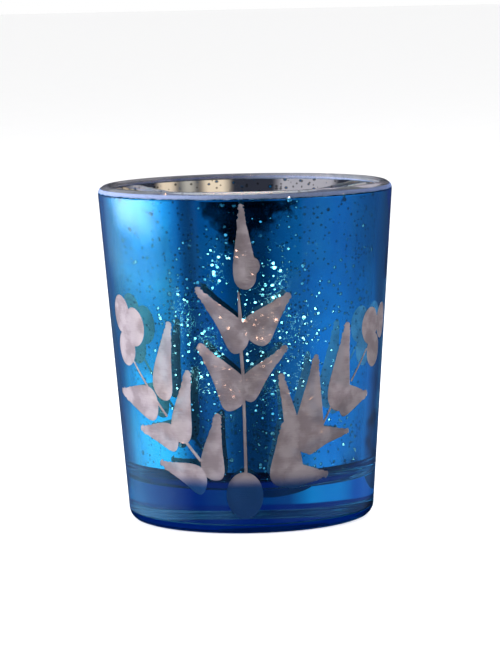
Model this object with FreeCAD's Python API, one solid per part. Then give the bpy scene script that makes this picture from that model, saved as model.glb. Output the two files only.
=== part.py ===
"""A silvered glass votive holder, lacquered blue and wheel-cut with leaf sprays, and its tealight.

The cup stands on its flat underside at z = 0 with its axis on Z. Its centre spray of leaves faces -Y.
All lengths are in millimetres.
"""
import FreeCAD, Part
import math
import os

# The glass cup
HEIGHT = 80.0
RIM_RADIUS = 35.0          # outside, at the rim's height
FOOT_RADIUS = 29.0         # outside, at the underside's height
FOOT_ROUNDING = 3.0        # of the edge round the underside
HEEL = 10.0                # solid glass under the cavity
WALL_AT_RIM = 2.9
WALL_AT_HEEL = 3.4
LIP_OUTER_ROUNDING = 2.0
LIP_INNER_ROUNDING = 0.8
CAVITY_CORNER = 5.0        # rounding between the cavity's floor and wall

# The two coatings
LACQUER = 0.1
LACQUER_LOW = 0.6          # the film's lower edge, on the rounding of the foot
LACQUER_HIGH = 79.2        # its upper edge, on the shoulder of the lip
SILVERING = 0.1
SILVERING_HIGH = 78.6      # the mirror's upper edge, just inside the lip

# The wheel-cut pattern
CUT_DEPTH = 0.3            # below the glass's outer face
CUTTER_REACH = 3.0         # each way from the wall, enough to span its curve under one leaf
PATTERN_REPEATS = 2        # round the cup
POINTS_PER_SIDE = 12       # of a leaf's outline
GROWTH = 1.25              # power of a leaf's growth in width from its tip
ROUND_END = 6              # power that closes its round end
LEAF_SCALE = 1.54          # makes the widest part of the two powers' product 1
BEND_SCALE = 6.75          # makes the greatest bend, two thirds of the way from the tip, 1

# The tealight
TEALIGHT_RADIUS = 18.8     # outside, under the rolled rim
TEALIGHT_FOOT_RADIUS = 18.4
TEALIGHT_HEIGHT = 16.0
TIN = 0.3                  # sheet thickness of its cup
ROLL_RADIUS = 0.45         # section of the rolled rim
TIN_CORNER = 1.0
WAX_LEVEL = 12.5           # above the tealight's underside
WAX_DISH = 0.4             # how far the wax dips round the wick
WICK_RADIUS = 0.8
WICK_TOP = 19.5            # above the tealight's underside
TAB_RADIUS = 6.5
TAB_SHEET = 0.3
TAB_NECK_RADIUS = 1.4
TAB_NECK_HEIGHT = 3.0

SLOPE = (RIM_RADIUS - FOOT_RADIUS) / HEIGHT
MEAN_RADIUS = (RIM_RADIUS + FOOT_RADIUS) / 2
CAVITY_RIM_RADIUS = RIM_RADIUS - WALL_AT_RIM
CAVITY_FLOOR_RADIUS = FOOT_RADIUS + SLOPE * HEEL - WALL_AT_HEEL
CAVITY_SLOPE = (CAVITY_RIM_RADIUS - CAVITY_FLOOR_RADIUS) / (HEIGHT - HEEL)
TEALIGHT_Z = HEEL + SILVERING

# The pattern, on the wall. Each place is (distance round the wall from the centre stem, height). The
# distance is measured at the mean radius and grows to the right of someone facing the cup.
# A leaf is (tip, round end, half width at the tip, greatest half width, sideways bend), an oval
# (centre, half width, half height), and a stem (start, end, width at the start, width at the end).
LEAVES = [
    # the bud and two pairs of leaves on the centre stem
    ((0.4, 77.4), (1.1, 57.6), 0.4, 2.45, 0.0),
    ((-10.1, 58.2), (-0.3, 43.1), 0.6, 2.9, 1.4),
    ((10.9, 56.5), (2.1, 45.5), 0.6, 3.7, -0.6),
    ((-10.0, 45.1), (-1.7, 29.8), 0.8, 3.7, 1.6),
    ((10.2, 44.3), (0.5, 31.9), 0.5, 2.6, -1.2),
    # three pairs on the left stem
    ((-17.5, 50.0), (-20.5, 31.3), 0.7, 2.9, -0.9),
    ((-39.4, 32.1), (-22.5, 28.8), 0.6, 3.8, 1.0),
    ((-13.2, 38.8), (-16.0, 21.4), 0.7, 2.8, -0.6),
    ((-30.0, 24.1), (-17.0, 21.2), 0.6, 3.0, 1.1),
    ((-6.3, 28.8), (-7.6, 12.9), 0.7, 2.9, -0.9),
    ((-23.3, 16.6), (-10.1, 10.9), 0.6, 3.0, 1.3),
    # three pairs on the right stem, and one more leaf where it meets the lowest pair
    ((26.6, 48.6), (24.6, 27.8), 0.8, 3.4, -0.4),
    ((36.2, 30.8), (24.6, 29.0), 0.6, 3.5, -0.8),
    ((17.7, 41.8), (15.9, 18.6), 0.6, 4.0, -0.2),
    ((28.6, 22.9), (15.1, 19.6), 0.5, 2.7, -1.7),
    ((8.8, 37.9), (12.1, 20.4), 0.6, 1.8, 0.4),
    ((10.7, 26.9), (9.9, 11.0), 1.6, 3.9, 0.3),
    ((22.0, 13.3), (9.7, 13.0), 0.6, 2.8, -0.5),
]
OVALS = [
    # the base of the centre stem, and a slip of the wheel beside the bud
    ((-0.2, 9.4), 4.6, 5.5),
    ((2.6, 63.0), 1.7, 2.1),
    # the three petals at the end of the left stem, and of the right stem
    ((-34.6, 50.7), 4.1, 4.5),
    ((-29.0, 48.0), 3.8, 4.6),
    ((-33.3, 42.7), 4.1, 4.2),
    ((36.0, 46.8), 4.0, 4.4),
    ((43.0, 47.4), 3.6, 4.3),
    ((38.4, 40.8), 3.7, 4.0),
]
STEMS = [
    ((-0.5, 57.2), (-0.2, 49.6), 0.3, 1.0),
    ((-0.3, 44.0), (0.1, 37.0), 0.8, 0.8),
    ((0.1, 32.2), (0.2, 14.4), 0.7, 0.8),
    ((-30.6, 40.0), (-19.8, 27.5), 0.7, 0.7),
    ((-15.2, 22.2), (-11.0, 17.4), 0.8, 0.8),
    ((34.6, 41.6), (28.6, 34.4), 0.6, 0.6),
    ((23.0, 30.4), (19.8, 25.0), 0.6, 0.6),
]


# ---- Shapes used more than once ----

def rounded_outline(corners):
    """A closed outline in the XZ plane. Each corner is (x, z) or, with a rounding, (x, z, radius)."""
    places = [FreeCAD.Vector(corner[0], 0, corner[1]) for corner in corners]
    ends = []
    edges = []
    for index, corner in enumerate(corners):
        place = places[index]
        if len(corner) == 2:
            ends.append((place, place))
            continue
        radius = corner[2]
        back = (places[index - 1] - place).normalize()
        ahead = (places[(index + 1) % len(places)] - place).normalize()
        half_angle = back.getAngle(ahead) / 2
        setback = radius / math.tan(half_angle)
        inward = (back + ahead).normalize()
        middle = place + inward * (radius / math.sin(half_angle) - radius)
        ends.append((place + back * setback, place + ahead * setback))
        edges.append(Part.Arc(ends[-1][0], middle, ends[-1][1]).toShape())
    for index, end in enumerate(ends):
        following = ends[(index + 1) % len(ends)]
        if end[1].distanceToPoint(following[0]) > 1e-6:
            edges.append(Part.makeLine(end[1], following[0]))
    return Part.Wire(Part.__sortEdges__(edges))


def turned(corners):
    """The solid that an outline sweeps round Z."""
    face = Part.Face(rounded_outline(corners))
    return face.revolve(FreeCAD.Vector(0, 0, 0), FreeCAD.Vector(0, 0, 1), 360)


def outer_body(growth):
    """The cup's outer form with no cavity, grown outwards by a distance, or shrunk if it is negative."""
    shift = growth * math.hypot(1, SLOPE)
    low = FOOT_RADIUS - SLOPE * growth + shift
    high = RIM_RADIUS + SLOPE * growth + shift
    return turned([
        (0, -growth),
        (low, -growth, FOOT_ROUNDING + growth),
        (high, HEIGHT + growth, LIP_OUTER_ROUNDING + growth),
        (0, HEIGHT + growth),
    ])


def cavity(lining):
    """The cavity, running out past the rim, with a lining of some thickness already on its walls."""
    top = HEIGHT + LIP_OUTER_ROUNDING
    shift = lining * math.hypot(1, CAVITY_SLOPE)
    floor_radius = CAVITY_FLOOR_RADIUS + CAVITY_SLOPE * lining - shift
    top_radius = CAVITY_FLOOR_RADIUS + CAVITY_SLOPE * (top - HEEL) - shift
    return turned([
        (0, HEEL + lining),
        (floor_radius, HEEL + lining, CAVITY_CORNER - lining),
        (top_radius, top),
        (0, top),
    ])


def slab(low, high):
    """Everything between two heights."""
    reach = 2 * RIM_RADIUS
    return Part.makeBox(2 * reach, 2 * reach, high - low, FreeCAD.Vector(-reach, -reach, low))


def disc(radius, low, high):
    return Part.makeCylinder(radius, high - low, FreeCAD.Vector(0, 0, low))


# ---- The wheel-cut pattern ----

def wall_point(place, turn):
    """The point on the cup's outer face at a place of the pattern, turned round Z by an angle."""
    angle = place[0] / MEAN_RADIUS + turn
    radius = FOOT_RADIUS + SLOPE * place[1]
    return FreeCAD.Vector(radius * math.sin(angle), -radius * math.cos(angle), place[1])


def cutter(outline, turn):
    """A prism through the wall, square to it at the outline's middle. outline maps a function that lays
    a place on the wall to the outline's wire."""
    centre = outline["centre"]
    angle = centre[0] / MEAN_RADIUS + turn
    outward = FreeCAD.Vector(math.sin(angle), -math.cos(angle), 0)
    base = wall_point(centre, turn)

    def lay(place):
        point = wall_point(place, turn)
        return point - outward * ((point - base).dot(outward) + CUTTER_REACH)

    wire = outline["draw"](lay)
    return Part.Face(wire).extrude(outward * 2 * CUTTER_REACH)


def leaf(tip, end, tip_half_width, half_width, bend):
    """A leaf with a blunt tip, a round end, and a spine that bends to the right by bend."""
    length = math.dist(tip, end)
    along = ((end[0] - tip[0]) / length, (end[1] - tip[1]) / length)
    across = (along[1], -along[0])

    def side(share, sign):
        grown = (LEAF_SCALE * half_width - tip_half_width) * share**GROWTH + tip_half_width
        past_tip = min(share * length / tip_half_width, 1)
        closed = math.sqrt(1 - (1 - past_tip) ** 2) * math.sqrt(1 - share**ROUND_END)
        sideways = sign * grown * closed - BEND_SCALE * bend * share**2 * (1 - share)
        return tuple(tip[i] + along[i] * length * share + across[i] * sideways for i in (0, 1))

    def draw(lay):
        shares = [(1 - math.cos(math.pi * n / POINTS_PER_SIDE)) / 2 for n in range(POINTS_PER_SIDE + 1)]
        places = [side(share, 1) for share in shares]
        places += [side(share, -1) for share in shares[-2:0:-1]]
        curve = Part.BSplineCurve()
        curve.interpolate([lay(place) for place in places], PeriodicFlag=True)
        return Part.Wire([curve.toShape()])

    return {"centre": side(0.6, 0), "draw": draw}


def oval(centre, half_width, half_height):
    def draw(lay):
        count = 2 * POINTS_PER_SIDE
        curve = Part.BSplineCurve()
        places = []
        for n in range(count):
            around = 2 * math.pi * n / count
            shift = (half_width * math.cos(around), half_height * math.sin(around))
            places.append((centre[0] + shift[0], centre[1] + shift[1]))
        curve.interpolate([lay(place) for place in places], PeriodicFlag=True)
        return Part.Wire([curve.toShape()])

    return {"centre": centre, "draw": draw}


def stem(start, end, start_width, end_width):
    length = math.dist(start, end)
    across = ((end[1] - start[1]) / length, -(end[0] - start[0]) / length)

    def draw(lay):
        corners = []
        for place, width, sign in ((start, start_width, 1), (end, end_width, 1),
                                   (end, end_width, -1), (start, start_width, -1)):
            corners.append(tuple(place[i] + across[i] * sign * width / 2 for i in (0, 1)))
        return Part.makePolygon([lay(corner) for corner in corners + corners[:1]])

    return {"centre": ((start[0] + end[0]) / 2, (start[1] + end[1]) / 2), "draw": draw}


def make_cuts():
    """What the wheel takes away: every cut, as deep as CUT_DEPTH and clear of the lacquer's face."""
    outlines = [leaf(*numbers) for numbers in LEAVES]
    outlines += [oval(*numbers) for numbers in OVALS]
    outlines += [stem(*numbers) for numbers in STEMS]
    layer = outer_body(CUT_DEPTH).cut(outer_body(-CUT_DEPTH))
    cuts = []
    for repeat in range(PATTERN_REPEATS):
        turn = 2 * math.pi * repeat / PATTERN_REPEATS
        cuts += [cutter(outline, turn).common(layer) for outline in outlines]
    return cuts[0].multiFuse(cuts[1:])


# ---- The pieces ----

def make_glass_cup(cuts):
    body = turned([
        (0, 0),
        (FOOT_RADIUS, 0, FOOT_ROUNDING),
        (RIM_RADIUS, HEIGHT, LIP_OUTER_ROUNDING),
        (CAVITY_RIM_RADIUS, HEIGHT, LIP_INNER_ROUNDING),
        (CAVITY_FLOOR_RADIUS, HEEL, CAVITY_CORNER),
        (0, HEEL),
    ])
    return body.cut(cuts)


def make_blue_lacquer(cuts):
    film = outer_body(LACQUER).cut(outer_body(0)).common(slab(LACQUER_LOW, LACQUER_HIGH))
    return film.cut(cuts)


def make_inner_silvering():
    return cavity(0).cut(cavity(SILVERING)).common(slab(0, SILVERING_HIGH))


def make_tealight_cup():
    inner_radius = TEALIGHT_RADIUS - TIN
    tin = turned([
        (0, 0),
        (TEALIGHT_FOOT_RADIUS, 0, TIN_CORNER),
        (TEALIGHT_RADIUS, TEALIGHT_HEIGHT - ROLL_RADIUS),
        (inner_radius, TEALIGHT_HEIGHT - ROLL_RADIUS),
        (TEALIGHT_FOOT_RADIUS - TIN, TIN, TIN_CORNER - TIN),
        (0, TIN),
    ])
    roll = Part.makeTorus(
        TEALIGHT_RADIUS - TIN / 2,
        ROLL_RADIUS,
        FreeCAD.Vector(0, 0, TEALIGHT_HEIGHT - ROLL_RADIUS),
    )
    return tin.fuse(roll)


def make_wick_tab():
    tab = disc(TAB_RADIUS, TIN, TIN + TAB_SHEET).fuse(disc(TAB_NECK_RADIUS, TIN, TIN + TAB_NECK_HEIGHT))
    return tab.cut(disc(WICK_RADIUS, TIN, TIN + TAB_NECK_HEIGHT))


def make_tealight_wick():
    return disc(WICK_RADIUS, TIN, WICK_TOP)


def make_tealight_wax(tab, wick):
    inner_foot = TEALIGHT_FOOT_RADIUS - TIN
    wall_slope = (TEALIGHT_RADIUS - TEALIGHT_FOOT_RADIUS) / (TEALIGHT_HEIGHT - ROLL_RADIUS - TIN)
    fill = turned([
        (0, TIN),
        (inner_foot, TIN, TIN_CORNER - TIN),
        (inner_foot + wall_slope * (WAX_LEVEL - TIN), WAX_LEVEL),
        (0, WAX_LEVEL - WAX_DISH),
    ])
    return fill.cut(tab.fuse(wick))


def largest_solid(shape):
    """The piece itself. The specks of lacquer that neighbouring cuts leave between them flake off."""
    return max(shape.Solids, key=lambda solid: solid.Volume)


def main():
    os.makedirs("parts", exist_ok=True)
    cuts = make_cuts()
    tab = make_wick_tab()
    wick = make_tealight_wick()
    pieces = {
        "glass_cup": make_glass_cup(cuts),
        "blue_lacquer": make_blue_lacquer(cuts),
        "inner_silvering": make_inner_silvering(),
    }
    candle = {
        "tealight_cup": make_tealight_cup(),
        "tealight_wax": make_tealight_wax(tab, wick),
        "tealight_wick": wick,
        "wick_tab": tab,
    }
    for name, shape in candle.items():
        pieces[name] = shape.translated(FreeCAD.Vector(0, 0, TEALIGHT_Z))
    for name, shape in pieces.items():
        solid = largest_solid(shape)
        solid.exportStep(f"parts/{name}.step")
        print(f"{name}: {solid.Volume:.1f} cubic mm, valid {solid.isValid()}")


main()
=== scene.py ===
import math
import random

import bpy
from mathutils import Matrix, Vector, kdtree, noise
from mathutils.geometry import delaunay_2d_cdt


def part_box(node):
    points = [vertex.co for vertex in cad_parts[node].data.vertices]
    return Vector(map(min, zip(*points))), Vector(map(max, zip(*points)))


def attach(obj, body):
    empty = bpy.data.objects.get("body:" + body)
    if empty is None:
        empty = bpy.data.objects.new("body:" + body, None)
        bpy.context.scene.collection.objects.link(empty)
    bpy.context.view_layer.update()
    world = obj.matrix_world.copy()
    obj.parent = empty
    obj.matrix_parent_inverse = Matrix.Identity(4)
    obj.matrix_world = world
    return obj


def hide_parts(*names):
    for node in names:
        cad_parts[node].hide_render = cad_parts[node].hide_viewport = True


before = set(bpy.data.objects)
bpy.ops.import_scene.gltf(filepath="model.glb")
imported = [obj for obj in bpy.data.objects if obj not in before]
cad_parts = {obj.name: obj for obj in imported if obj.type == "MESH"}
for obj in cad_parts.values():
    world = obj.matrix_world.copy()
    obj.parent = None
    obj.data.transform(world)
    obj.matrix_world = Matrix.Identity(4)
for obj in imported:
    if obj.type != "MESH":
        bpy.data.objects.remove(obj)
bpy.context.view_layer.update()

# A silvered glass votive holder with its tealight. The forms below are worked out in millimetres, as
# the CAD has them, and make_piece turns them into metres. The cup's front is -Y.
MM = 0.001
SEED = 11


def millimetres(corner):
    return corner / MM


# ---- The cup's form ----

SILVER_LOW, SILVER_HIGH = map(millimetres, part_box("inner_silvering"))
FILM_LOW, FILM_HIGH = map(millimetres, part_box("blue_lacquer"))
TEALIGHT_LOW, TEALIGHT_HIGH = map(millimetres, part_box("tealight_cup"))
WAX_LOW, WAX_HIGH = map(millimetres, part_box("tealight_wax"))
WICK_LOW, WICK_HIGH = map(millimetres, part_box("tealight_wick"))

HEIGHT = millimetres(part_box("glass_cup")[1]).z
HEEL = SILVER_LOW.z
RIM_RADIUS = 35.0
FOOT_RADIUS = 29.0
FOOT_ROUNDING = 3.0
WALL_AT_RIM = 2.9
WALL_AT_HEEL = 3.4
LIP_OUTER_ROUNDING = 2.0
LIP_INNER_ROUNDING = 0.8
CAVITY_CORNER = 5.0
FILM = 0.1                 # thickness of the lacquer and of the silvering
FILM_GAP = 0.02            # air between a film and the glass, so that their faces don't meet

SLOPE = (RIM_RADIUS - FOOT_RADIUS) / HEIGHT
MEAN_RADIUS = (RIM_RADIUS + FOOT_RADIUS) / 2
CAVITY_FLOOR_RADIUS = FOOT_RADIUS + SLOPE * HEEL - WALL_AT_HEEL

CLOSE = 1e-6               # nearer than this, two lengths are the same
FLAT_CLOSE = 1e-5          # the same for points of the flat sheet, which come back rounded
CLEAR_OF_CUTS = 0.6        # how far the sheet's own points stay from a cut's edge, in columns of its mesh
TURN_PARTS = 400000        # points whose angles differ by less than one part of a turn are one point
STEPS_AROUND = 256
STEP_UP = 0.9              # height of a row of the wall's mesh
ARC_STEP = math.radians(9)


# ---- The wheel-cut pattern, on the wall ----
# Each place is (distance round the wall from the centre stem, height). The distance is measured at
# the mean radius and grows to the right of someone facing the cup.
# A leaf is (tip, round end, half width at the tip, greatest half width, sideways bend), an oval
# (centre, half width, half height), and a stem (start, end, width at the start, width at the end).

PATTERN_REPEATS = 2
GROWTH = 1.25
ROUND_END = 6
LEAF_SCALE = 1.54
BEND_SCALE = 6.75
LEAVES = [
    # the bud and two pairs of leaves on the centre stem
    ((0.4, 77.4), (1.1, 57.6), 0.4, 2.45, 0.0),
    ((-10.1, 58.2), (-0.3, 43.1), 0.6, 2.9, 1.4),
    ((10.9, 56.5), (2.1, 45.5), 0.6, 3.7, -0.6),
    ((-10.0, 45.1), (-1.7, 29.8), 0.8, 3.7, 1.6),
    ((10.2, 44.3), (0.5, 31.9), 0.5, 2.6, -1.2),
    # three pairs on the left stem
    ((-17.5, 50.0), (-20.5, 31.3), 0.7, 2.9, -0.9),
    ((-39.4, 32.1), (-22.5, 28.8), 0.6, 3.8, 1.0),
    ((-13.2, 38.8), (-16.0, 21.4), 0.7, 2.8, -0.6),
    ((-30.0, 24.1), (-17.0, 21.2), 0.6, 3.0, 1.1),
    ((-6.3, 28.8), (-7.6, 12.9), 0.7, 2.9, -0.9),
    ((-23.3, 16.6), (-10.1, 10.9), 0.6, 3.0, 1.3),
    # three pairs on the right stem, and one more leaf where it meets the lowest pair
    ((26.6, 48.6), (24.6, 27.8), 0.8, 3.4, -0.4),
    ((36.2, 30.8), (24.6, 29.0), 0.6, 3.5, -0.8),
    ((17.7, 41.8), (15.9, 18.6), 0.6, 4.0, -0.2),
    ((28.6, 22.9), (15.1, 19.6), 0.5, 2.7, -1.7),
    ((8.8, 37.9), (12.1, 20.4), 0.6, 1.8, 0.4),
    ((10.7, 26.9), (9.9, 11.0), 1.6, 3.9, 0.3),
    ((22.0, 13.3), (9.7, 13.0), 0.6, 2.8, -0.5),
]
OVALS = [
    # the base of the centre stem, and a slip of the wheel beside the bud
    ((-0.2, 9.4), 4.6, 5.5),
    ((2.6, 63.0), 1.7, 2.1),
    # the three petals at the end of the left stem, and of the right stem
    ((-34.6, 50.7), 4.1, 4.5),
    ((-29.0, 48.0), 3.8, 4.6),
    ((-33.3, 42.7), 4.1, 4.2),
    ((36.0, 46.8), 4.0, 4.4),
    ((43.0, 47.4), 3.6, 4.3),
    ((38.4, 40.8), 3.7, 4.0),
]
STEMS = [
    ((-0.5, 57.2), (-0.2, 49.6), 0.3, 1.0),
    ((-0.3, 44.0), (0.1, 37.0), 0.8, 0.8),
    ((0.1, 32.2), (0.2, 14.4), 0.7, 0.8),
    ((-30.6, 40.0), (-19.8, 27.5), 0.7, 0.7),
    ((-15.2, 22.2), (-11.0, 17.4), 0.8, 0.8),
    ((34.6, 41.6), (28.6, 34.4), 0.6, 0.6),
    ((23.0, 30.4), (19.8, 25.0), 0.6, 0.6),
]

OUTLINE_SPACING = 0.35     # between the points of a cut's outline
JAGGED_SHARE = 0.45        # how far from its tip a leaf's edge is ragged
JAG = 0.42                 # the most that a ragged edge wanders
CUT_EDGE_STEP = 0.06       # depth at a cut's edge
CUT_DEPTH = 0.3            # depth well inside it
CUT_SLOPE_WIDTH = 1.8      # over which the floor falls from one to the other


def leaf_outline(tip, end, tip_half_width, half_width, bend, chance):
    """A leaf whose edges are ragged near its blunt tip, where the wheel skipped."""
    length = math.dist(tip, end)
    along = ((end[0] - tip[0]) / length, (end[1] - tip[1]) / length)
    across = (along[1], -along[0])

    def side(share, sign):
        grown = (LEAF_SCALE * half_width - tip_half_width) * share**GROWTH + tip_half_width
        past_tip = min(share * length / tip_half_width, 1)
        closed = math.sqrt(1 - (1 - past_tip) ** 2) * math.sqrt(1 - share**ROUND_END)
        ragged = JAG * chance.uniform(-0.5, 1) * max(1 - share / JAGGED_SHARE, 0) * past_tip
        sideways = sign * (grown * closed + ragged) - BEND_SCALE * bend * share**2 * (1 - share)
        return tuple(tip[i] + along[i] * length * share + across[i] * sideways for i in (0, 1))

    count = round(length / OUTLINE_SPACING)
    shares = [(1 - math.cos(math.pi * n / count)) / 2 for n in range(count + 1)]
    return [side(share, 1) for share in shares] + [side(share, -1) for share in shares[-2:0:-1]]


def oval_outline(centre, half_width, half_height):
    count = round(2 * math.pi * half_height / OUTLINE_SPACING)
    return [
        (
            centre[0] + half_width * math.cos(2 * math.pi * n / count),
            centre[1] + half_height * math.sin(2 * math.pi * n / count),
        )
        for n in range(count)
    ]


def stem_outline(start, end, start_width, end_width):
    length = math.dist(start, end)
    across = ((end[1] - start[1]) / length, -(end[0] - start[0]) / length)
    count = round(length / OUTLINE_SPACING / 2)
    sides = []
    for sign in (1, -1):
        row = []
        for n in range(count + 1):
            share = n / count
            half = sign * (start_width + (end_width - start_width) * share) / 2
            row.append(tuple(start[i] + (end[i] - start[i]) * share + across[i] * half for i in (0, 1)))
        sides.append(row)
    return sides[0] + sides[1][::-1]


def pattern_outlines():
    chance = random.Random(SEED)
    outlines = []
    for repeat in range(PATTERN_REPEATS):
        shift = 2 * math.pi * MEAN_RADIUS * repeat / PATTERN_REPEATS
        ring = [leaf_outline(*numbers, chance) for numbers in LEAVES]
        ring += [oval_outline(*numbers) for numbers in OVALS]
        ring += [stem_outline(*numbers) for numbers in STEMS]
        outlines += [[(s + shift, z) for s, z in outline] for outline in ring]
    return outlines


# ---- Skins: surfaces of revolution whose points know their outward normal ----

def rounded_path(corners):
    """Stations (radius, height, normal's radial part, normal's upward part) along an outline whose
    corners are (radius, height, rounding), with the outside on the right of the way it runs."""
    stations = []
    for index, (radius, height, rounding) in enumerate(corners):
        place = Vector((radius, height))
        runs = []
        if index > 0:
            runs.append((place - Vector(corners[index - 1][:2])).normalized())
        if index < len(corners) - 1:
            runs.append((Vector(corners[index + 1][:2]) - place).normalized())
        if len(runs) == 1 or rounding == 0:
            for run in runs:
                stations.append((place.x, place.y, run.y, -run.x))
            continue
        turn = runs[0].angle(runs[1])
        bend = 1 if runs[0].x * runs[1].y - runs[0].y * runs[1].x > 0 else -1
        start = place - runs[0] * rounding * math.tan(turn / 2)
        first = math.atan2(-runs[0].x * bend, runs[0].y * bend)
        centre = start - rounding * Vector((math.cos(first), math.sin(first)))
        steps = max(2, math.ceil(turn / ARC_STEP))
        for n in range(steps + 1):
            angle = first + bend * turn * n / steps
            out = Vector((math.cos(angle), math.sin(angle)))
            at = centre + rounding * out
            stations.append((at.x, at.y, out.x * bend, out.y * bend))
    return stations


def part_way(first, second, share):
    return tuple(a + (b - a) * share for a, b in zip(first, second))


class Skin:
    """Faces over points (angle, radius, height, normal's radial and upward parts)."""

    def __init__(self):
        self.points = []
        self.index = {}
        self.faces = []
        self.cut = []

    def point(self, angle, station):
        radius, height, out, up = station
        turn = round(angle / (2 * math.pi) * TURN_PARTS) % TURN_PARTS if radius > CLOSE else 0
        key = (turn, round(radius, 3), round(height, 3), round(out, 2), round(up, 2))
        if key not in self.index:
            self.index[key] = len(self.points)
            self.points.append((angle, radius, height, out, up))
        return self.index[key]

    def face(self, corners, cut=False):
        corners = [c for n, c in enumerate(corners) if c != corners[n - 1]]
        self.faces.append(corners)
        self.cut.append(cut)

    def turn(self, stations):
        """Turns a run of stations right round the axis."""
        for low, high in zip(stations, stations[1:]):
            if math.dist(low[:2], high[:2]) < CLOSE:
                continue
            for n in range(STEPS_AROUND):
                ends = [2 * math.pi * (n + more) / STEPS_AROUND for more in (0, 1)]
                self.face([
                    self.point(ends[0], low),
                    self.point(ends[1], low),
                    self.point(ends[1], high),
                    self.point(ends[0], high),
                ])

    def normal(self, point):
        angle, _, _, out, up = self.points[point]
        return Vector((out * math.sin(angle), -out * math.cos(angle), up))

    def place(self, point, offset=0.0):
        angle, radius, height, out, up = self.points[point]
        radius += out * offset
        return Vector((radius * math.sin(angle), -radius * math.cos(angle), height + up * offset))


class Body:
    """A mesh being built: points, faces, the material of each face, and the normal at each corner."""

    def __init__(self):
        self.points = []
        self.index = {}
        self.faces = []
        self.slots = []
        self.normals = []

    def point(self, key, place):
        if key not in self.index:
            self.index[key] = len(self.points)
            self.points.append(place)
        return self.index[key]

    def face(self, corners, slot=0, normals=None):
        if normals is None:
            places = [self.points[c] for c in corners]
            flat = sum(
                (a.cross(b) for a, b in zip(places, places[1:] + places[:1])),
                Vector((0, 0, 0)),
            ).normalized()
            normals = [flat] * len(corners)
        self.faces.append(corners)
        self.slots.append(slot)
        self.normals.extend(normals)


def add_object(name, data):
    thing = bpy.data.objects.new(name, data)
    bpy.context.scene.collection.objects.link(thing)
    return thing


def make_piece(name, body, materials, node, ride_on):
    """The finished object: in metres, riding its CAD body and standing for its CAD node."""
    mesh = bpy.data.meshes.new(name)
    mesh.from_pydata([point * MM for point in body.points], [], body.faces)
    for material in materials:
        mesh.materials.append(material)
    mesh.polygons.foreach_set("material_index", body.slots)
    mesh.polygons.foreach_set("use_smooth", [True] * len(body.faces))
    mesh.normals_split_custom_set(body.normals)
    piece = add_object(name, mesh)
    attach(piece, ride_on)
    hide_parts(node)
    return piece


def cup_path():
    """The glass's whole outline, from the middle of its underside round to the middle of its floor."""
    return rounded_path([
        (0, 0, 0),
        (FOOT_RADIUS, 0, FOOT_ROUNDING),
        (RIM_RADIUS, HEIGHT, LIP_OUTER_ROUNDING),
        (RIM_RADIUS - WALL_AT_RIM, HEIGHT, LIP_INNER_ROUNDING),
        (CAVITY_FLOOR_RADIUS, HEEL, CAVITY_CORNER),
        (0, HEEL, 0),
    ])


def outer_skin(outlines):
    """The outside of the cup, from the middle of its underside to the top of its lip. The long wall is
    one sheet, triangulated flat so that its edges run along every cut, then wrapped round."""
    path = cup_path()
    rise = max(b[1] - a[1] for a, b in zip(path, path[1:]))
    foot_end = next(n for n in range(len(path)) if path[n + 1][1] - path[n][1] == rise)
    low, high = path[foot_end], path[foot_end + 1]
    top = next(n for n in range(foot_end, len(path)) if path[n][3] > 1 - CLOSE)
    skin = Skin()
    skin.turn(path[:foot_end + 1])
    skin.turn(path[foot_end + 1:top + 1])

    across = 2 * math.pi * MEAN_RADIUS
    step = across / STEPS_AROUND
    seam = -round(STEPS_AROUND / 4) * step
    rows = round((high[1] - low[1]) / STEP_UP)
    edge_tree = kdtree.KDTree(sum(len(outline) for outline in outlines))
    for outline in outlines:
        for place in outline:
            edge_tree.insert((*place, 0), 0)
    edge_tree.balance()
    flat = []
    for row in range(rows + 1):
        height = low[1] + (high[1] - low[1]) * row / rows
        for column in range(STEPS_AROUND + 1):
            place = (seam + column * step, height)
            border = row in (0, rows) or column in (0, STEPS_AROUND)
            if border or edge_tree.find((*place, 0))[2] > CLEAR_OF_CUTS * step:
                flat.append(Vector(place))
    loops = []
    for outline in outlines:
        loops.append(list(range(len(flat), len(flat) + len(outline))))
        flat += [Vector(place) for place in outline]
    sheet, _, triangles, _, _, sources = delaunay_2d_cdt(flat, [], loops, 0, FLAT_CLOSE)

    for triangle, source in zip(triangles, sources):
        a, b, c = (sheet[n] for n in triangle)
        if (b - a).cross(c - a) < 0:
            triangle = triangle[::-1]
        corners = []
        for n in triangle:
            s, height = sheet[n]
            station = (FOOT_RADIUS + SLOPE * height, height, low[2], low[3])
            for end in (low, high):
                if abs(height - end[1]) < 10 * FLAT_CLOSE:
                    station = end
            corners.append(skin.point(s / MEAN_RADIUS, station))
        skin.face(corners, cut=bool(source))
    return skin, edge_tree


def free_edges(faces):
    """The directed edges that only one of the faces has."""
    edges = {edge: True for face in faces for edge in zip(face, face[1:] + face[:1])}
    return [edge for edge in edges if edge[::-1] not in edges]


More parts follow.
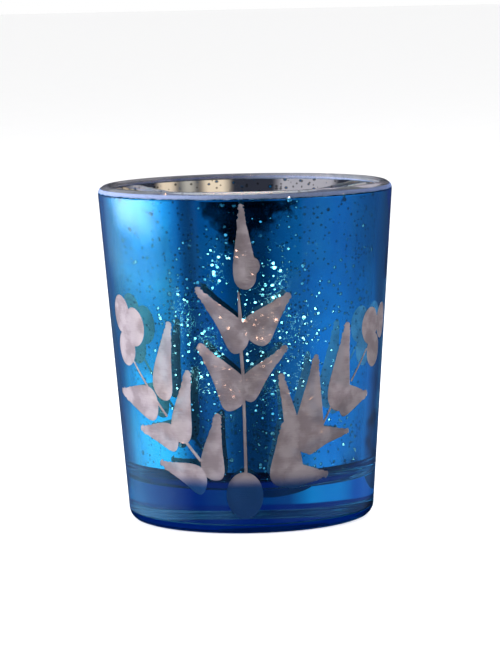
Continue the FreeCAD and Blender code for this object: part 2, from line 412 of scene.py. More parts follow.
def make_glass_cup(skin, edge_tree, materials):
    """Clear glass with each cut sunk into it. A cut's floor is hollow: it falls away from its edge."""
    body = Body()
    whole = [face for face, cut in zip(skin.faces, skin.cut) if not cut]
    sunk = [face for face, cut in zip(skin.faces, skin.cut) if cut]
    for face in whole:
        corners = [body.point(("wall", n), skin.place(n)) for n in face]
        body.face(corners, 0, [skin.normal(n) for n in face])

    def floor_place(n):
        angle, _, height = skin.points[n][:3]
        s = angle * MEAN_RADIUS
        share = min(edge_tree.find((s, height, 0))[2] / CUT_SLOPE_WIDTH, 1)
        depth = CUT_EDGE_STEP + (CUT_DEPTH - CUT_EDGE_STEP) * (1 - (1 - share) ** 2)
        return skin.place(n, -depth)

    floor_normals = {}
    places = {n: floor_place(n) for face in sunk for n in face}
    for face in sunk:
        a, b, c = (places[n] for n in face)
        square = (b - a).cross(c - a)
        for n in face:
            floor_normals[n] = floor_normals.get(n, Vector((0, 0, 0))) + square
    for face in sunk:
        corners = [body.point(("floor", n), places[n]) for n in face]
        body.face(corners, 1, [floor_normals[n].normalized() for n in face])
    for a, b in free_edges(sunk):
        body.face([
            body.point(("floor", b), places[b]),
            body.point(("floor", a), places[a]),
            body.point(("wall", a), skin.place(a)),
            body.point(("wall", b), skin.place(b)),
        ], 1)

    path = cup_path()
    top = next(n for n in range(len(path)) if path[n][3] > 1 - CLOSE)
    inside = Skin()
    inside.turn(path[top:])
    for face in inside.faces:
        corners = []
        for n in face:
            angle, radius, height = inside.points[n][:3]
            joins_lip = abs(height - HEIGHT) < CLOSE and radius >= path[top][0] - CLOSE
            key = ("wall", skin.point(angle, path[top])) if joins_lip else ("inside", n)
            corners.append(body.point(key, inside.place(n)))
        body.face(corners, 0, [inside.normal(n) for n in face])
    return make_piece("glass_cup_cut", body, materials, "glass_cup", "holder")


def shell(faces, skin, inner, outer):
    """A closed thin body between two offsets of a skin's faces. Its outer face has slot 0, and its
    inner face and its edges slot 1."""
    body = Body()
    for face in faces:
        corners = [body.point(("outer", n), skin.place(n, outer)) for n in face]
        body.face(corners, 0, [skin.normal(n) for n in face])
        corners = [body.point(("inner", n), skin.place(n, inner)) for n in face[::-1]]
        body.face(corners, 1, [-skin.normal(n) for n in face[::-1]])
    for a, b in free_edges(faces):
        body.face([
            body.point(("outer", b), skin.place(b, outer)),
            body.point(("outer", a), skin.place(a, outer)),
            body.point(("inner", a), skin.place(a, inner)),
            body.point(("inner", b), skin.place(b, inner)),
        ], 1)
    return body


def make_blue_lacquer(skin, materials):
    """The film, from just above the ground round the foot, up the wall, to the shoulder of the lip."""
    faces = []
    for face, cut in zip(skin.faces, skin.cut):
        heights = [skin.points[n][2] for n in face]
        if not cut and min(heights) >= FILM_LOW.z - FILM and max(heights) <= FILM_HIGH.z + FILM:
            faces.append(face)
    body = shell(faces, skin, FILM_GAP, FILM)
    return make_piece("blue_lacquer_film", body, materials, "blue_lacquer", "holder")


def make_inner_silvering(materials):
    path = cup_path()
    start = next(n for n in range(len(path)) if path[n][2] < 0 and path[n][1] < SILVER_HIGH.z)
    upper, lower = path[start - 1], path[start]
    share = (upper[1] - SILVER_HIGH.z) / (upper[1] - lower[1])
    radius = upper[0] + (lower[0] - upper[0]) * share
    stations = [(radius, SILVER_HIGH.z, lower[2], lower[3])]
    for below in path[start:]:
        above = stations[-1]
        steps = max(1, round(math.dist(above[:2], below[:2]) / (3 * STEP_UP)))
        stations += [part_way(above, below, n / steps) for n in range(1, steps + 1)]
    skin = Skin()
    skin.turn(stations)
    body = shell(skin.faces, skin, FILM_GAP, FILM)
    return make_piece("silver_mirror_film", body, materials, "inner_silvering", "holder")


# ---- The tealight ----

LEVEL = 0.99               # a normal whose radial part is more than this is nearly level
TIN = 0.3                  # thickness of its sheet
TIN_ROLL = 0.45            # radius of the rolled rim
TIN_ROLL_FROM = -60        # where the roll starts, in degrees up from straight out
TIN_ROLL_TURN = 300
TIN_CORNER = 1.0
TIN_TAPER = 0.4            # by how much its radius is less at the base
TIN_RIBS = 72              # fine pleats round the side of the pressed tin
TIN_RIB_DEPTH = 0.05
WAX_DISH = 0.4
WAX_TAPER = 0.3            # the same for the wax
WAX_CREEP = 0.25           # how far the wax creeps up the wick
WAX_CREEP_REACH = 1.2
WICK_STRANDS = 3
WICK_STRAND_RADIUS = 0.42
WICK_COIL_RADIUS = 0.36
WICK_PITCH = 3.2
WICK_LEAN = 0.9            # how far the wick's free end leans


def round_body(stations, ripple=None):
    """A closed turned body. ripple(angle, station) moves a point outwards."""
    skin = Skin()
    skin.turn(stations)
    body = Body()
    for face in skin.faces:
        corners = []
        for n in face:
            push = ripple(skin.points[n][0], skin.points[n][1:]) if ripple else 0
            corners.append(body.point(n, skin.place(n, push)))
        body.face(corners, 0, [skin.normal(n) for n in face])
    return body


def make_tealight_cup(material):
    base = TEALIGHT_LOW.z
    rim = TEALIGHT_HIGH.z - TIN_ROLL
    radius = TEALIGHT_HIGH.x - TIN_ROLL + TIN / 2
    foot = radius - TIN_TAPER
    outside = rounded_path([(0, base, 0), (foot, base, TIN_CORNER), (radius, rim, 0)])
    roll = []
    steps = 12
    for n in range(steps + 1):
        angle = math.radians(TIN_ROLL_FROM + TIN_ROLL_TURN * n / steps)
        out = Vector((math.cos(angle), math.sin(angle)))
        roll.append((radius - TIN / 2 + TIN_ROLL * out.x, rim + TIN_ROLL * out.y, out.x, out.y))
    inside = rounded_path([
        (radius - TIN, rim, 0),
        (foot - TIN, base + TIN, TIN_CORNER - TIN),
        (0, base + TIN, 0),
    ])
    side = [s for s in outside if s[2] > LEVEL]
    rows = 8
    wall = [part_way(side[0], side[-1], n / rows) for n in range(rows)]
    stations = [s for s in outside if s[2] <= LEVEL] + wall + roll + inside

    def pleat(angle, station):
        share = (station[1] - base) / (rim - base)
        on_side = station[2] > LEVEL and 0.1 < share < 0.93
        return TIN_RIB_DEPTH * (math.cos(TIN_RIBS * angle) - 1) * on_side

    body = round_body(stations, pleat)
    return make_piece("tealight_tin", body, [material], "tealight_cup", "tealight")


def make_tealight_wax(material):
    """Set wax: dished towards the wick, and creeping a little way up it."""
    base, top = WAX_LOW.z, WAX_HIGH.z
    radius = WAX_HIGH.x - 0.02
    side_low = radius - WAX_TAPER
    surface = []
    rings = 26
    for n in range(rings + 1):
        share = 1 - n / rings
        dish = WAX_DISH * (1 - share**2)
        creep = WAX_CREEP * math.exp(-share * radius / WAX_CREEP_REACH)
        bumps = 0.05 * math.sin(9 * share) * (1 - share)
        surface.append((radius * share, top - dish + creep + bumps, 0.0, 1.0))
    stations = [(0, base, 0, -1), (side_low, base, 0, -1), (side_low, base, 1, 0), (radius, top, 1, 0)]
    stations += surface

    def uneven(angle, station):
        if station[3] < 0.9 or station[0] > radius - 0.5:
            return 0
        place = Vector((station[0] * math.sin(angle), station[0] * math.cos(angle), 0))
        return 0.12 * noise.noise(place * 0.22) + 0.04 * noise.noise(place * 0.9)

    body = round_body(stations, uneven)
    return make_piece("tealight_wax_fill", body, [material], "tealight_wax", "tealight")


def make_tealight_wick(material):
    """Three twisted cotton strands that lean over a little where they leave the wax."""
    body = Body()
    sections, sides = 90, 10
    rise = WICK_HIGH.z - WICK_LOW.z - WICK_STRAND_RADIUS
    for strand in range(WICK_STRANDS):
        rings = []
        for n in range(sections + 1):
            up = rise * n / sections
            twist = 2 * math.pi * (up / WICK_PITCH + strand / WICK_STRANDS)
            lean = WICK_LEAN * max(0, (WICK_LOW.z + up - WAX_HIGH.z) / (WICK_HIGH.z - WAX_HIGH.z)) ** 2
            centre = Vector((
                WICK_COIL_RADIUS * math.cos(twist) + lean,
                WICK_COIL_RADIUS * math.sin(twist),
                WICK_LOW.z + 0.1 + up,
            ))
            end = min(n, sections - n)
            size = WICK_STRAND_RADIUS * min(1, 0.55 + 0.25 * end)
            ring = []
            for k in range(sides):
                around = 2 * math.pi * k / sides
                out = Vector((math.cos(around), math.sin(around), 0))
                ring.append((body.point((strand, n, k), centre + out * size), out))
            rings.append(ring)
        for low, high in zip(rings, rings[1:]):
            for k in range(sides):
                four = [low[k - 1], low[k], high[k], high[k - 1]]
                body.face([corner[0] for corner in four], 0, [corner[1] for corner in four])
        body.face([corner[0] for corner in rings[0][::-1]])
        body.face([corner[0] for corner in rings[-1]])
    return make_piece("tealight_wick_braid", body, [material], "tealight_wick", "tealight")


# ---- Materials ----

LIP_HAZE = (78.4, 79.0)    # heights over which the haze on the lip sets in
LIP_WEAR = (78.15, 78.6)   # heights over which the lacquer's worn edge sets in


class NodeTree:
    """Short names for adding nodes to a tree and joining them."""

    def __init__(self, tree):
        self.tree = tree

    def add(self, kind, **settings):
        node = self.tree.nodes.new(kind)
        for name, value in settings.items():
            setattr(node, name, value)
        return node

    def put(self, value, socket):
        if isinstance(value, bpy.types.NodeSocket):
            self.tree.links.new(value, socket)
        else:
            socket.default_value = value

    def fill(self, node, *values):
        """Puts the values in the node's first inputs, and gives its first output."""
        for value, socket in zip(values, node.inputs):
            self.put(value, socket)
        return node.outputs[0]

    def math(self, operation, *values, kind="ShaderNodeMath"):
        return self.fill(self.add(kind, operation=operation), *values)

    def times(self, value, *others):
        for other in others:
            value = self.math("MULTIPLY", value, other)
        return value

    def vector_math(self, operation, *values):
        return self.math(operation, *values, kind="ShaderNodeVectorMath")

    def parts(self, vector):
        """The x, y and z of a vector."""
        node = self.add("ShaderNodeSeparateXYZ")
        self.put(vector, node.inputs[0])
        return node.outputs

    def ramp(self, value, low, high, out_low=0.0, out_high=1.0):
        """Goes smoothly from out_low to out_high as value goes from low to high."""
        node = self.add("ShaderNodeMapRange", interpolation_type="SMOOTHSTEP")
        return self.fill(node, value, low, high, out_low, out_high)

    def mix(self, share, first, second, kind="RGBA"):
        node = self.add("ShaderNodeMix", data_type=kind)
        self.put(share, node.inputs["Factor"])
        ends = [socket for socket in node.inputs if socket.type == kind and socket.enabled]
        self.put(first, ends[0])
        self.put(second, ends[1])
        return next(socket for socket in node.outputs if socket.type == kind and socket.enabled)


class Nodes(NodeTree):
    """A material's nodes."""

    def __init__(self, name):
        self.material = bpy.data.materials.new(name)
        self.material.use_nodes = True
        super().__init__(self.material.node_tree)
        self.shader = self.tree.nodes["Principled BSDF"]
        self.position = self.add("ShaderNodeTexCoord").outputs["Object"]

    def height(self):
        return self.parts(self.position)[2]

    def stretched(self, x, y, z):
        node = self.add("ShaderNodeMapping")
        self.put(self.position, node.inputs["Vector"])
        node.inputs["Scale"].default_value = (x, y, z)
        return node.outputs["Vector"]

    def noise(self, size, detail=2.0, vector=None, rough=0.5, output="Fac"):
        """Noise from 0 to 1 whose patches are about size millimetres across."""
        node = self.add("ShaderNodeTexNoise")
        self.put(vector or self.position, node.inputs["Vector"])
        node.inputs["Scale"].default_value = 1 / (size * MM)
        node.inputs["Detail"].default_value = detail
        node.inputs["Roughness"].default_value = rough
        return node.outputs[output]

    def bump(self, height, distance):
        """A bump whose full height is distance millimetres."""
        node = self.add("ShaderNodeBump")
        node.inputs["Distance"].default_value = distance * MM
        self.put(height, node.inputs["Height"])
        self.put(node.outputs["Normal"], self.shader.inputs["Normal"])

    def set(self, **values):
        for name, value in values.items():
            self.put(value, self.shader.inputs[name.replace("_", " ").title().replace("Ior", "IOR")])


def clear_glass():
    """Clear, with a faint pale haze on the lip, where it lets less light through."""
    m = Nodes("clear_pressed_glass")
    wave = m.noise(14, 1.0)
    m.bump(wave, 0.10)
    on_lip = m.ramp(m.height(), LIP_HAZE[0] * MM, LIP_HAZE[1] * MM)
    haze = m.times(on_lip, m.math("MULTIPLY_ADD", m.noise(2.5, 3), 0.09, 0.035))
    m.set(
        base_color=m.mix(m.noise(20), (0.86, 0.93, 0.99, 1), (0.92, 0.96, 1.0, 1)),
        roughness=m.ramp(m.noise(5, 3), 0.4, 0.75, 0.0, 0.03),
        transmission_weight=m.math("SUBTRACT", 1.0, haze),
        ior=1.5,
    )
    return m.material


def frosted_glass():
    """Where the wheel ground the glass: milky, with fine level scratches. Its colour is painted shade over
    the solid heel: dark navy there, where no mirror stands behind it, and milky and pale above it, where
    the mirror does."""
    m = Nodes("wheel_cut_frosted_glass")
    scratches = m.noise(1.0, 3.0, m.stretched(0.35, 0.35, 4.5), 0.65)
    grain = m.noise(0.25, 2.0)
    height = m.math("ADD", scratches, m.times(grain, 0.35))
    m.bump(height, 0.06)
    # painted shade: 0 over the solid heel, where the colour is painted dark navy, and 1 above it, where
    # the mirror stands behind and the colour is milky
    mirrored = m.ramp(m.height(), (HEEL + 1) * MM, (HEEL + 4.5) * MM)
    patches = m.times(m.ramp(m.noise(4, 3), 0.3, 0.7), 0.5)
    tone = m.math("MULTIPLY_ADD", scratches, 0.5, patches)
    milky = m.mix(m.ramp(tone, 0.25, 0.75), (0.20, 0.165, 0.175, 1), (0.31, 0.268, 0.28, 1))
    m.set(
        base_color=m.mix(mirrored, (0.007, 0.036, 0.11, 1), milky),
        roughness=m.ramp(m.noise(3, 3), 0.3, 0.7, 0.50, 0.70),
        transmission_weight=0.48,
        specular_ior_level=0.2,
        ior=1.15,
    )
    return m.material


def lacquer(name, coat):
    """A see-through dye film, worn to a pale haze on the shoulder of the lip. It bends nothing by itself;
    its outer face has the gloss."""
    m = Nodes(name)
    thick = m.math(
        "ADD",
        m.noise(9, 3),
        m.times(m.noise(6, 2, m.stretched(1.6, 1.6, 0.12)), 0.8),
    )
    dye = m.mix(m.ramp(thick, 0.6, 1.2), (0.12, 0.58, 0.985, 1), (0.06, 0.50, 0.96, 1))
    uneven = m.math("MULTIPLY_ADD", m.noise(1.5, 2), 0.6 * MM, -0.3 * MM)
    worn = m.ramp(m.math("ADD", m.height(), uneven), LIP_WEAR[0] * MM, LIP_WEAR[1] * MM)
    m.set(
        base_color=m.mix(worn, dye, (0.60, 0.70, 0.97, 1)),
        roughness=0.0,
        transmission_weight=m.ramp(worn, 0.0, 1.0, 1.0, 0.86),
        ior=1.0,
        coat_weight=coat,
        coat_roughness=0.03,
        coat_ior=1.5,
    )
    return m.material


def holes(m, vector, spacing, share, smallest, largest, offset):
    """How deep a point lies inside the nearest round hole, in millimetres; less than 0 outside it.
    share of the cells have a hole, with radii from smallest to largest."""
    node = m.add("ShaderNodeTexVoronoi", voronoi_dimensions="2D")
    m.put(m.vector_math("ADD", vector, (offset, offset, 0)), node.inputs["Vector"])
    node.inputs["Scale"].default_value = 1 / (spacing * MM)
    cell = m.add("ShaderNodeSeparateColor")
    m.put(node.outputs["Color"], cell.inputs["Color"])
    missing = m.math("GREATER_THAN", cell.outputs["Red"], share)
    radius = m.math("MULTIPLY_ADD", cell.outputs["Green"], largest - smallest, smallest)
    distance = m.times(node.outputs["Distance"], spacing)
    return m.math("SUBTRACT", m.math("SUBTRACT", radius, distance), m.times(missing, spacing))


def drained(m, angle):
    """1 in the upright bands where the silver ran thin, a little to each side of every leaf spray."""
    sway = m.math("MULTIPLY_ADD", m.noise(26, 1), 0.7, -0.35)
    wave = m.times(m.math("ADD", angle, sway), PATTERN_REPEATS)
    beside = m.math("ABSOLUTE", m.math("SINE", wave))
    return m.times(
        m.ramp(beside, 0.06, 0.34),
        m.ramp(beside, 0.72, 1.0, 1.0, 0.0),
    )


def antique_silver():
    """A warm mirror with tarnish round its ragged holes, thin spots, dark specks and thin cloudy parts.
    The pattern is unrolled on the wall, and lies as seen from above on the cavity's floor."""
    m = Nodes("antiqued_silvering")
    x, y, z = m.parts(m.position)
    angle = m.math("ARCTAN2", x, m.times(y, -1.0))
    unrolled = m.fill(m.add("ShaderNodeCombineXYZ"), m.times(angle, CAVITY_FLOOR_RADIUS * MM), z)
    on_floor = m.math("LESS_THAN", z, (HEEL + 1) * MM)
    flat = m.mix(on_floor, unrolled, m.position, "VECTOR")
    vector = m.vector_math("MULTIPLY_ADD", m.noise(0.9, 2, output="Color"), (0.22 * MM,) * 3, flat)
    band = drained(m, angle)
    patchy = m.ramp(m.noise(9, 2), 0.36, 0.62)
    crowd = m.times(
        band,
        m.math("MULTIPLY_ADD", patchy, 0.75, 0.25),
        m.ramp(z, 74 * MM, 60 * MM, 0.25, 1.0),
    )
    depths = [
        holes(m, vector, 3.0, m.math("MULTIPLY_ADD", crowd, 0.34, 0.12), 0.22, 0.48, 0.3),
        holes(m, vector, 1.7, m.math("MULTIPLY_ADD", crowd, 0.48, 0.16), 0.13, 0.32, 0.2),
    ]
    thinned = [
        holes(m, vector, 0.9, m.math("MULTIPLY_ADD", crowd, 0.50, 0.10), 0.08, 0.20, 0.1),
        holes(m, vector, 2.3, m.math("MULTIPLY_ADD", crowd, 0.30, 0.22), 0.16, 0.42, 0.5),
    ]
    clear = m.ramp(m.math("MAXIMUM", depths[0], depths[1]), -0.01, 0.05)
    thin_spots = m.times(m.ramp(m.math("MAXIMUM", thinned[0], thinned[1]), -0.01, 0.07), 0.40)
    solid = m.math("SUBTRACT", 1.0, m.math("MAXIMUM", clear, thin_spots))
    deepest = m.math("MAXIMUM", m.math("MAXIMUM", depths[0], depths[1]), thinned[0])
    specks = holes(m, vector, 1.7, 0.45, 0.05, 0.22, 0.4)
    tarnish = m.math("MAXIMUM", m.ramp(deepest, -0.22, -0.01), m.ramp(specks, -0.06, 0.06))
    cloud = m.times(
        band,
        m.ramp(z, 66 * MM, 58 * MM),
        m.ramp(m.noise(7, 3), 0.42, 0.60),
        m.ramp(m.noise(0.5, 2), 0.42, 0.60),
    )
    thin = m.math("SUBTRACT", 1.0, m.times(cloud, 0.22))
    tone = m.ramp(m.noise(8, 3), 0.35, 0.7)
    metal = m.mix(tone, (0.90, 0.87, 0.82, 1), (0.80, 0.79, 0.76, 1))
    m.set(
        base_color=m.mix(m.times(tarnish, 0.75), metal, (0.14, 0.13, 0.10, 1)),
        metallic=1.0,
        roughness=m.ramp(m.noise(2.2, 4), 0.3, 0.75, 0.0, 0.06),
        alpha=m.times(solid, thin),
    )
    ripples = m.noise(3.0, 2, m.stretched(1.0, 1.0, 0.35))
    m.bump(ripples, 0.012)
    return m.material


def tealight_tin():
    m = Nodes("drawn_aluminium")
    streaks = m.noise(2.0, 3, m.stretched(1, 1, 0.08))
    m.bump(streaks, 0.02)
    m.set(
        base_color=m.mix(m.noise(6), (0.80, 0.80, 0.82, 1), (0.90, 0.90, 0.91, 1)),
        metallic=1.0,
        roughness=m.ramp(streaks, 0.3, 0.7, 0.22, 0.36),
    )
    return m.material


def candle_wax():
    m = Nodes("paraffin_wax")
    bloom = m.noise(2.6, 4)
    m.bump(m.noise(0.9, 3), 0.03)
    m.set(
        base_color=m.mix(bloom, (0.57, 0.55, 0.49, 1), (0.66, 0.64, 0.59, 1)),
        roughness=m.ramp(bloom, 0.3, 0.7, 0.32, 0.48),
        subsurface_weight=0.25,
        subsurface_scale=2.0 * MM,
        ior=1.44,
    )
    return m.material


def cotton_wick():
    m = Nodes("waxed_cotton")
    fibres = m.noise(0.35, 3, m.stretched(1.6, 1.6, 0.5))
    m.bump(fibres, 0.08)
    m.set(
        base_color=m.mix(fibres, (0.34, 0.31, 0.24, 1), (0.52, 0.49, 0.42, 1)),
        roughness=m.ramp(fibres, 0.3, 0.7, 0.55, 0.8),
        sheen_weight=0.2,
    )
    return m.material


def tab_steel():
    m = Nodes("tinned_steel")
    grain = m.noise(1.2, 3, m.stretched(1, 0.1, 1))
    m.bump(grain, 0.01)
    m.set(
        base_color=m.mix(grain, (0.55, 0.55, 0.56, 1), (0.68, 0.68, 0.69, 1)),
        metallic=1.0,
        roughness=m.ramp(grain, 0.3, 0.7, 0.25, 0.42),
    )
    return m.material


def floor_paint():
    m = Nodes("pale_matt_floor")
    m.set(
        base_color=m.mix(m.noise(30, 3), (0.93, 0.93, 0.93, 1), (0.95, 0.95, 0.95, 1)),
        roughness=0.9,
    )
    return m.material


# ---- The studio ----

CAMERA_DISTANCE = 776.0
CAMERA_AZIMUTH = math.radians(2.5)
CAMERA_ELEVATION = math.radians(6.75)
CAMERA_ROLL = math.radians(-1.22)
CAMERA_LENS = 175.9
AIM_UP = 4.06              # above the middle of the cup
AIM_RIGHT = 0.5
FLOOR_RADIUS = 9.0         # in metres
# Each is (name, azimuth, elevation, distance and size in metres, power in watts, colour).
LAMPS = [
    ("lamp_overhead", 0, 88, 1.1, 1.2, 4, (1, 1, 1)),
    ("lamp_left", -85, 11, 1.0, 0.5, 36, (0.88, 0.89, 1)),
]


def direction(azimuth, elevation):
    """From the cup towards this azimuth and elevation."""
    level = math.cos(elevation)
    return Vector((math.sin(azimuth) * level, -math.cos(azimuth) * level, math.sin(elevation)))


def make_camera():
    away = direction(CAMERA_AZIMUTH, CAMERA_ELEVATION)
    right = Vector((math.cos(CAMERA_AZIMUTH), math.sin(CAMERA_AZIMUTH), 0))
    up = away.cross(right)
    middle = Vector((0, 0, HEIGHT / 2))
    eye = middle + away * CAMERA_DISTANCE
    aim = middle + up * AIM_UP + right * AIM_RIGHT
    data = bpy.data.cameras.new("camera")
    data.lens = CAMERA_LENS
    data.clip_end = 100
    camera = add_object("camera", data)
    look = (aim - eye).to_track_quat("-Z", "Y").to_matrix().to_4x4()
    camera.matrix_world = Matrix.Translation(eye * MM) @ look @ Matrix.Rotation(CAMERA_ROLL, 4, "Z")
    bpy.context.scene.camera = camera


def make_floor():
    """A wide pale disc. It doesn't show in the cup's mirror, so that the studio's own tones do."""
    sides = 96
    rim = []
    for n in range(sides):
        angle = 2 * math.pi * n / sides
        rim.append((FLOOR_RADIUS * math.cos(angle), FLOOR_RADIUS * math.sin(angle), 0))
    mesh = bpy.data.meshes.new("floor")
    mesh.from_pydata(rim, [], [list(range(sides))])
    mesh.materials.append(floor_paint())
    floor = add_object("floor", mesh)
    floor.visible_glossy = False
    floor.visible_transmission = False


def make_lamp(name, azimuth, elevation, distance, size, power, colour):
    """A square soft lamp, aimed at the cup. It lights matt surfaces, throws no shadow, and shows in no
    mirror."""
    data = bpy.data.lights.new(name, "AREA")
    data.shape = "SQUARE"
    data.size = size
    data.energy = power
    data.use_shadow = False
    data.color = colour
    lamp = add_object(name, data)
    away = direction(math.radians(azimuth), math.radians(elevation))
    lamp.location = away * distance
    lamp.rotation_euler = (-away).to_track_quat("-Z", "Y").to_euler()
    lamp.visible_glossy = False
    lamp.visible_transmission = False


# What the cup mirrors below eye level, as (azimuth in degrees, brightness): a big soft box on the left, a
# paler wall on the right. Azimuth 0 is the cup's front and + is to the right.
AROUND = [
    (-180, 0.15), (-160, 0.28), (-148, 0.55), (-135, 1.5), (-121, 2.5), (-100, 3.1), (-85, 3.0),
    (-73, 2.1), (-62, 0.90), (-53, 0.25), (-46, 0.17), (-38, 0.34), (-24, 0.40), (-12, 0.20), (3, 0.12),
    (18, 0.12), (27, 0.28), (40, 0.38), (66, 0.48), (81, 0.53), (94, 0.51), (109, 0.36), (144, 0.22),
    (162, 0.12), (180, 0.15),
]
# Each as azimuth from, to and softness.
SOFT_BOX = (-150, -62, 10)
DARK_WEDGE = (-36, 48, 3)
WEDGE_POINT = -3.0         # azimuth at which the dark wedge hangs lowest
WALL_TINT = (0.98, 0.98, 1.0, 1)
SOFT_BOX_TINT = (1.0, 1.0, 0.68, 1)
# What shows through the solid heel, as (azimuth, colour): the studio behind the cup, at table height.
BEHIND = [
    (-180, (0.02, 0.13, 0.17)), (-166, (0.03, 0.15, 0.20)), (-158, (0.10, 0.62, 0.56)),
    (-145, (0.08, 0.62, 0.58)), (-133, (0.02, 0.26, 0.40)), (-112, (0.02, 0.38, 0.50)),
    (-90, (0.10, 0.95, 0.95)), (-50, (0.20, 1.0, 0.80)), (0, (0.20, 0.70, 0.70)), (62, (0.30, 0.90, 0.72)),
    (105, (0.20, 0.50, 0.40)), (134, (0.05, 0.21, 0.27)), (149, (0.01, 0.085, 0.20)),
    (162, (0.01, 0.06, 0.18)), (180, (0.02, 0.13, 0.17)),
]
ABOVE_BEHIND = (0.005, 0.045, 0.15, 1)
UNDER_THE_HEEL = (0.004, 0.02, 0.11, 1)
UNDER_THE_FAR_LIP = (0.15, 0.19, 0.25, 1)
OVER_THE_LIP = (0.34, 0.38, 0.48, 1)
# Elevations over which each part of the studio gives way to the one above it.
HEEL_ENDS = (-31, -25)
STEEP_ENDS = (-22, -19)
LOWER_ENDS_THROUGH_GLASS = (-6.1, -5.5)
LOWER_ENDS = (-2.5, -1.0)
BEHIND_ENDS = (-1.5, 4.0)
BRIGHTEST = 4.0            # what 1 stands for in a ramp
MIRROR_LEAN = 9.9          # how much the leaning wall tips its mirror image down at the front, in degrees
# What the gloss and the mirror inside the rim see above eye level: soft panels, each (azimuth from, to,
# softness, elevation from, to, softness, strength, colour).
PANELS = [
    # what shows in the mirror inside the far rim: blotchy and warm on the left, cool on the right
    (17, 40, 6, 0, 12, 1, 0.85, (1.0, 0.86, 0.66)),
    (47, 60, 6, 0, 12, 1, 0.48, (0.95, 0.92, 0.82)),
    (66, 84, 6, 0, 12, 1, 0.80, (1.0, 0.85, 0.66)),
    (-84, -27, 6, 0, 12, 1, 0.50, (0.88, 0.87, 1.0)),
    (-200, 200, 1, 20, 100, 4, 0.5, (0.94, 0.95, 1.0)),
]
# The white wall behind the cup, seen only in the gloss, where it is nearly edge-on.
WALL_BEHIND = [
    (-200, -138, 8, -12, 45, 3, 0.80, (0.84, 0.86, 1.0)),
    (160, 200, 8, -12, 45, 3, 0.80, (0.84, 0.86, 1.0)),
]
# What shines down into the cup, and out through the holes in its silvering.
CUP_LIGHTS = [
    (-110, 110, 15, 17, 33, 2, 18.0, (1.55, 0.95, 0.74)),
    (125, 200, 15, 27, 44, 2, 18.0, (1.55, 0.95, 0.74)),
    (-200, -125, 15, 27, 44, 2, 18.0, (1.55, 0.95, 0.74)),
    (-200, 200, 1, 12.5, 27, 2, 1.6, (0.85, 0.92, 1.0)),
    (-200, 200, 1, 46, 100, 3, 1.6, (0.85, 0.92, 1.0)),
]
# How many faces light has met, counted back from the camera. The lacquer and the glass have two each.
BOUNCES_OFF_THE_GLOSS = 1
BOUNCES_OVER_THE_LIP = 2
BOUNCES_TO_SILVER = 5
BOUNCES_WITH_LACQUER = 9   # in through lacquer and glass to the silver, and out again
ROOM = (0.03, 0.035, 0.055)   # the even tone of the upper part's other directions
FLOOR_LIGHT = 1.06         # what matt surfaces receive from every direction


class WorldNodes(NodeTree):
    """The world's nodes. It isn't sampled as a lamp is, so each ray that meets it has a kind and depth."""

    def __init__(self):
        world = bpy.data.worlds.new("studio")
        bpy.context.scene.world = world
        world.use_nodes = True
        world.cycles.sampling_method = "NONE"
        super().__init__(world.node_tree)
        self.tree.nodes.clear()

    def background(self, colour):
        return self.fill(self.add("ShaderNodeBackground"), colour)

    def scaled(self, colour, share):
        node = self.add("ShaderNodeVectorMath", operation="SCALE")
        self.put(colour, node.inputs[0])
        self.put(share, node.inputs["Scale"])
        return node.outputs[0]

    def panels(self, azimuth, elevation, rows, colour):
        for from_a, to_a, soft_a, from_e, to_e, soft_e, strength, tint in rows:
            share = self.times(
                self.between(azimuth, from_a, to_a, soft_a),
                self.between(elevation, from_e, to_e, soft_e),
            )
            light = self.scaled(tint, self.times(share, strength))
            colour = self.vector_math("ADD", colour, light)
        return colour

    def around(self, azimuth, stops):
        """A colour ramp over all azimuths. Its colours are given as shares of BRIGHTEST."""
        ramp = self.add("ShaderNodeValToRGB")
        elements = ramp.color_ramp.elements
        while len(elements) > 1:
            elements.remove(elements[0])
        for index, (degrees, colour) in enumerate(stops):
            place = (degrees + 180) / 360
            stop = elements[0] if index == 0 else elements.new(place)
            stop.position = place
            stop.color = tuple(channel / BRIGHTEST for channel in colour) + (1,)
        self.put(self.math("DIVIDE", self.math("ADD", azimuth, 180.0), 360.0), ramp.inputs[0])
        return ramp.outputs[0]

    def between(self, value, low, high, soft):
        rising = self.ramp(value, low - soft, low + soft)
        falling = self.ramp(value, high - soft, high + soft, 1.0, 0.0)
        return self.times(rising, falling)


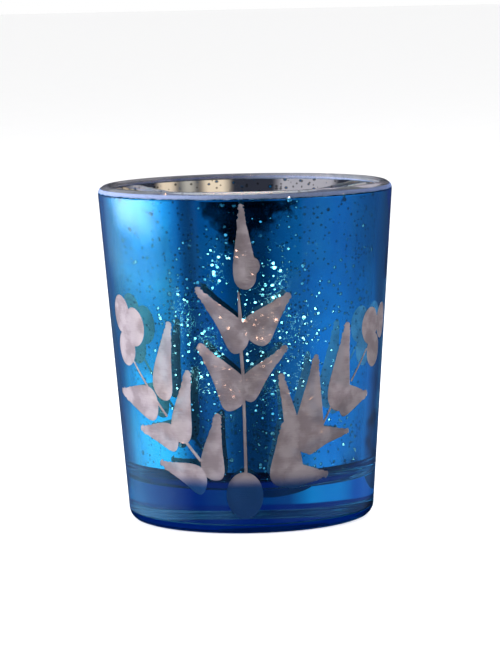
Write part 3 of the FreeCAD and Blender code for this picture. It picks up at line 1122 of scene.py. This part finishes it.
def lower_studio(w, azimuth, elevation, through_glass):
    """The soft box, the wall and the dark space behind the camera, below eye level."""
    tone = w.times(w.around(azimuth, [(a, (v,) * 3) for a, v in AROUND]), BRIGHTEST)

    # fall is how far below eye level the wall's mirror looks, less the wall's own lean: it is the same all
    # along one level line round the cup, small at its rim and large at its heel
    half_turn = w.math("RADIANS", w.math("DIVIDE", azimuth, 2.0))
    lean = w.times(w.math("COSINE", half_turn), MIRROR_LEAN)
    fall = w.math("SUBTRACT", w.times(elevation, -1.0), lean)

    # the soft box is brightest at its top and near its foot, and its upper edge glares in the gloss
    top = w.ramp(fall, 4.1, 4.9, 1.1, 0.52)
    middle = w.ramp(fall, 5.0, 6.5, 0.0, -0.12)
    foot = w.ramp(fall, 6.5, 7.5, 0.0, 0.36)
    box = w.math("ADD", w.math("ADD", top, middle), foot)
    in_box = w.between(azimuth, *SOFT_BOX)
    share = w.math("ADD", w.times(in_box, box), w.math("SUBTRACT", 1.0, in_box))
    tone = w.times(tone, share)
    glare = w.times(w.between(azimuth, -118, -78, 14), w.ramp(fall, 3.2, 3.7, 16.0, 0.0))
    tone = w.math("ADD", tone, w.times(glare, w.math("SUBTRACT", 1.0, through_glass)))

    # the dark space hangs down in a wedge, straight on its left and hollow on its right
    aside = w.math("ABSOLUTE", w.math("SUBTRACT", azimuth, WEDGE_POINT))
    straight = w.times(aside, 0.028)
    hollow = w.times(w.math("SQRT", aside), 0.120)
    on_right = w.math("GREATER_THAN", azimuth, WEDGE_POINT)
    side = w.math("ADD", straight, w.times(on_right, w.math("SUBTRACT", hollow, straight)))
    dark = w.ramp(w.math("ADD", fall, side), 4.98, 5.12, 0.985, 0.0)
    dark = w.times(dark, w.between(azimuth, *DARK_WEDGE))
    tone = w.times(tone, w.math("SUBTRACT", 1.0, dark))

    # near the table everything is dark, sooner on the right
    sooner = w.ramp(azimuth, 70, 110, 0.0, 0.45)
    near_table = w.ramp(w.math("ADD", fall, sooner), 9.3, 9.9, 1.0, 0.015)
    low_right = w.times(w.between(azimuth, 62, 145, 12), w.ramp(fall, 5.0, 7.5, 0.0, 0.30))
    return w.times(w.math("ADD", tone, low_right), near_table)


def make_world():
    """Mirrors see the painted studio, matt surfaces an even light, and the camera plain white."""
    w = WorldNodes()
    x, y, z = w.parts(w.add("ShaderNodeTexCoord").outputs["Generated"])
    azimuth = w.math("DEGREES", w.math("ARCTAN2", x, w.times(y, -1.0)))
    elevation = w.math("DEGREES", w.math("ARCSINE", z))
    path = w.add("ShaderNodeLightPath")
    through_glass = path.outputs["Is Transmission Ray"]

    bounces = path.outputs["Ray Depth"]
    from_inside = w.math("GREATER_THAN", bounces, BOUNCES_TO_SILVER - 0.5)
    upper = w.panels(azimuth, elevation, PANELS, ROOM)
    upper = w.mix(from_inside, upper, w.panels(azimuth, elevation, CUP_LIGHTS, ROOM))
    behind = w.scaled(w.around(azimuth, BEHIND), BRIGHTEST)
    behind = w.mix(w.ramp(elevation, *BEHIND_ENDS), behind, ABOVE_BEHIND)
    seen_through_lacquer = w.times(w.between(azimuth, *SOFT_BOX), through_glass)
    tint = w.mix(seen_through_lacquer, WALL_TINT, SOFT_BOX_TINT)
    lower = w.scaled(tint, lower_studio(w, azimuth, elevation, through_glass))

    # steep light that hasn't been to the silver and back through the lacquer is the lip's or the heel's
    under = w.mix(w.ramp(elevation, *HEEL_ENDS), UNDER_THE_HEEL, UNDER_THE_FAR_LIP)
    under = w.mix(w.math("GREATER_THAN", bounces, BOUNCES_TO_SILVER - 0.5), under, UNDER_THE_HEEL)
    under = w.mix(w.math("LESS_THAN", bounces, BOUNCES_OVER_THE_LIP + 0.5), under, OVER_THE_LIP)
    not_the_wall = w.times(w.ramp(elevation, *STEEP_ENDS, 1.0, 0.0),
                          w.math("LESS_THAN", bounces, BOUNCES_WITH_LACQUER - 0.5))
    lower = w.mix(w.times(not_the_wall, through_glass), lower, under)
    mirrored = w.mix(w.ramp(elevation, *LOWER_ENDS), lower, upper)
    at_once = w.math("LESS_THAN", bounces, BOUNCES_OFF_THE_GLOSS + 0.5)
    gloss = w.scaled(w.panels(azimuth, elevation, WALL_BEHIND, (0, 0, 0)), at_once)
    mirrored = w.vector_math("ADD", mirrored, gloss)
    refracted = w.mix(w.ramp(elevation, *LOWER_ENDS_THROUGH_GLASS), lower, behind)
    studio = w.mix(through_glass, mirrored, refracted)

    seen = w.background(studio)
    for ray, colour in (("Is Diffuse Ray", (FLOOR_LIGHT,) * 3 + (1,)), ("Is Camera Ray", (1, 1, 1, 1))):
        seen = w.fill(w.add("ShaderNodeMixShader"), path.outputs[ray], seen, w.background(colour))
    w.put(seen, w.add("ShaderNodeOutputWorld").inputs["Surface"])


def make_studio():
    make_camera()
    make_floor()
    make_world()
    for numbers in LAMPS:
        make_lamp(*numbers)
    scene = bpy.context.scene
    scene.view_settings.view_transform = "Standard"
    scene.cycles.max_bounces = 24
    scene.cycles.glossy_bounces = 12
    scene.cycles.transmission_bounces = 20
    scene.cycles.transparent_max_bounces = 24


# ---- Everything together ----

outlines = pattern_outlines()
wall_skin, cut_edges = outer_skin(outlines)
make_glass_cup(wall_skin, cut_edges, [clear_glass(), frosted_glass()])
make_blue_lacquer(wall_skin, [lacquer("blue_lacquer_face", 0.28), lacquer("blue_lacquer_back", 0.0)])
make_inner_silvering([antique_silver()])
make_tealight_cup(tealight_tin())
make_tealight_wax(candle_wax())
make_tealight_wick(cotton_wick())
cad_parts["wick_tab"].data.materials.clear()
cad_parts["wick_tab"].data.materials.append(tab_steel())
make_studio()

bpy.context.view_layer.update()
